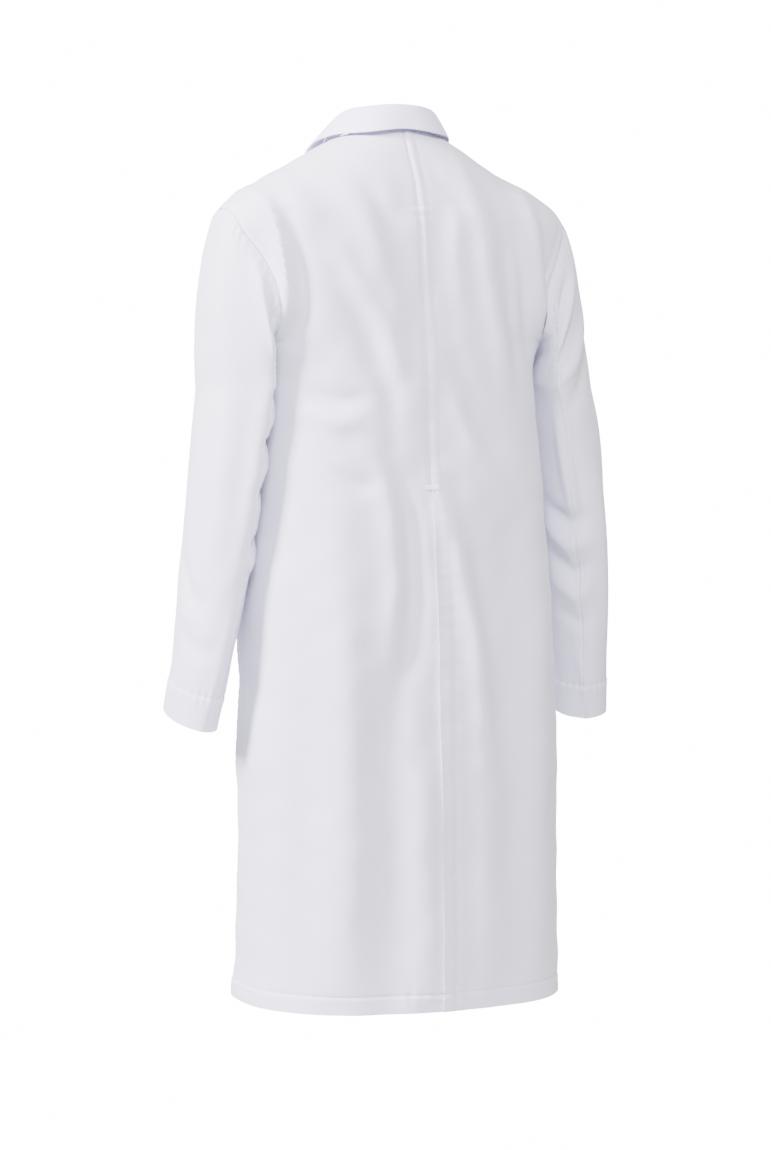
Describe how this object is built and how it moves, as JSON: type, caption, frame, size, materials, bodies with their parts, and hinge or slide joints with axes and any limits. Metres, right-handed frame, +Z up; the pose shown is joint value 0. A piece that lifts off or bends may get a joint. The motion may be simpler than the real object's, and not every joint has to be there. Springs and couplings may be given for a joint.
{
  "type": "lab coat",
  "caption": "White knee-length lab coat with a notched collar, snap front, patch pockets, two-piece sleeves and a centre-back vent, hanging closed.",
  "frame": {"origin": "on the middle plane, level with the nape seam and over the shoulder ridge, where the wearer or a hanger carries the coat", "axes": "+Z up, the front faces -Y and the back +Y, the wearer's left is +X"},
  "size_m": [0.5362, 0.2963, 1.0337],
  "materials": {
    "coat_cloth": "matt poly-cotton twill, faintly lilac white",
    "inner_cloth": "wrong side of the same cloth",
    "snap": "moulded white press stud",
    "tape": "woven cotton tape",
    "label": "satin ribbon, blank"
  },
  "bodies": {
    "root": {"left_back_panel": "coat_cloth", "right_back_panel": "coat_cloth", "vent_underlay": "inner_cloth", "vent_bar_tack": "tape", "left_front_chest": "coat_cloth", "right_front_chest": "coat_cloth", "left_front_side": "coat_cloth", "right_front_side": "coat_cloth", "collar_stand": "inner_cloth", "collar_fall": "coat_cloth", "left_lapel": "coat_cloth", "right_lapel": "coat_cloth", "left_chest_facing": "inner_cloth", "right_chest_facing": "inner_cloth", "back_neck_facing": "inner_cloth", "chest_pocket": "coat_cloth", "left_back_hem": "inner_cloth", "right_back_hem": "inner_cloth", "chest_snap_caps": "snap", "chest_snap_sockets": "snap", "chest_snap_studs": "snap", "chest_snap_posts": "snap", "care_label": "label"},
    "left_sleeve": {"left_upper_sleeve": "coat_cloth", "left_under_sleeve": "coat_cloth", "left_cuff_hem": "inner_cloth"},
    "right_sleeve": {"right_upper_sleeve": "coat_cloth", "right_under_sleeve": "coat_cloth", "right_cuff_hem": "inner_cloth"},
    "right_front": {"right_front_skirt": "coat_cloth", "right_skirt_facing": "inner_cloth", "right_lower_pocket": "coat_cloth", "right_skirt_hem": "inner_cloth", "skirt_snap_caps": "snap", "skirt_snap_sockets": "snap"},
    "left_front": {"left_front_skirt": "coat_cloth", "left_skirt_facing": "inner_cloth", "left_lower_pocket": "coat_cloth", "left_skirt_hem": "inner_cloth", "skirt_snap_studs": "snap", "skirt_snap_posts": "snap"},
    "vent": {"vent_flap": "coat_cloth", "vent_hem": "inner_cloth"},
    "loop": {"hang_loop": "tape"}
  },
  "joints": [
    {"name": "left_sleeve_lift", "type": "hinge", "parent": "root", "child": "left_sleeve", "pos_m": [0.207, 0, -0.097], "axis": [0, -1, 0], "range_deg": [0, 40]},
    {"name": "right_sleeve_lift", "type": "hinge", "parent": "root", "child": "right_sleeve", "pos_m": [-0.207, 0, -0.097], "axis": [0, 1, 0], "range_deg": [0, 40]},
    {"name": "right_front_open", "type": "hinge", "parent": "root", "child": "right_front", "pos_m": [-0.16652, -0.07255, -0.705], "axis": [-0.0265, 0.0001, -0.9996], "range_deg": [0, 80]},
    {"name": "left_front_open", "type": "hinge", "parent": "root", "child": "left_front", "pos_m": [0.16652, -0.07255, -0.705], "axis": [-0.0265, -0.0001, 0.9996], "range_deg": [0, 56]},
    {"name": "vent_open", "type": "hinge", "parent": "root", "child": "vent", "pos_m": [-0.035, 0.13843, -0.712], "axis": [0.1181, -0.0324, 0.9925], "range_deg": [0, 60]},
    {"name": "loop_turn", "type": "hinge", "parent": "root", "child": "loop", "pos_m": [0, 0.042, -0.004], "axis": [-1, 0, 0], "range_deg": [0, 100]}
  ],
  "couplings": [
    {"joint": "left_front_open", "follows": "right_front_open", "ratio": 0.7}
  ]
}
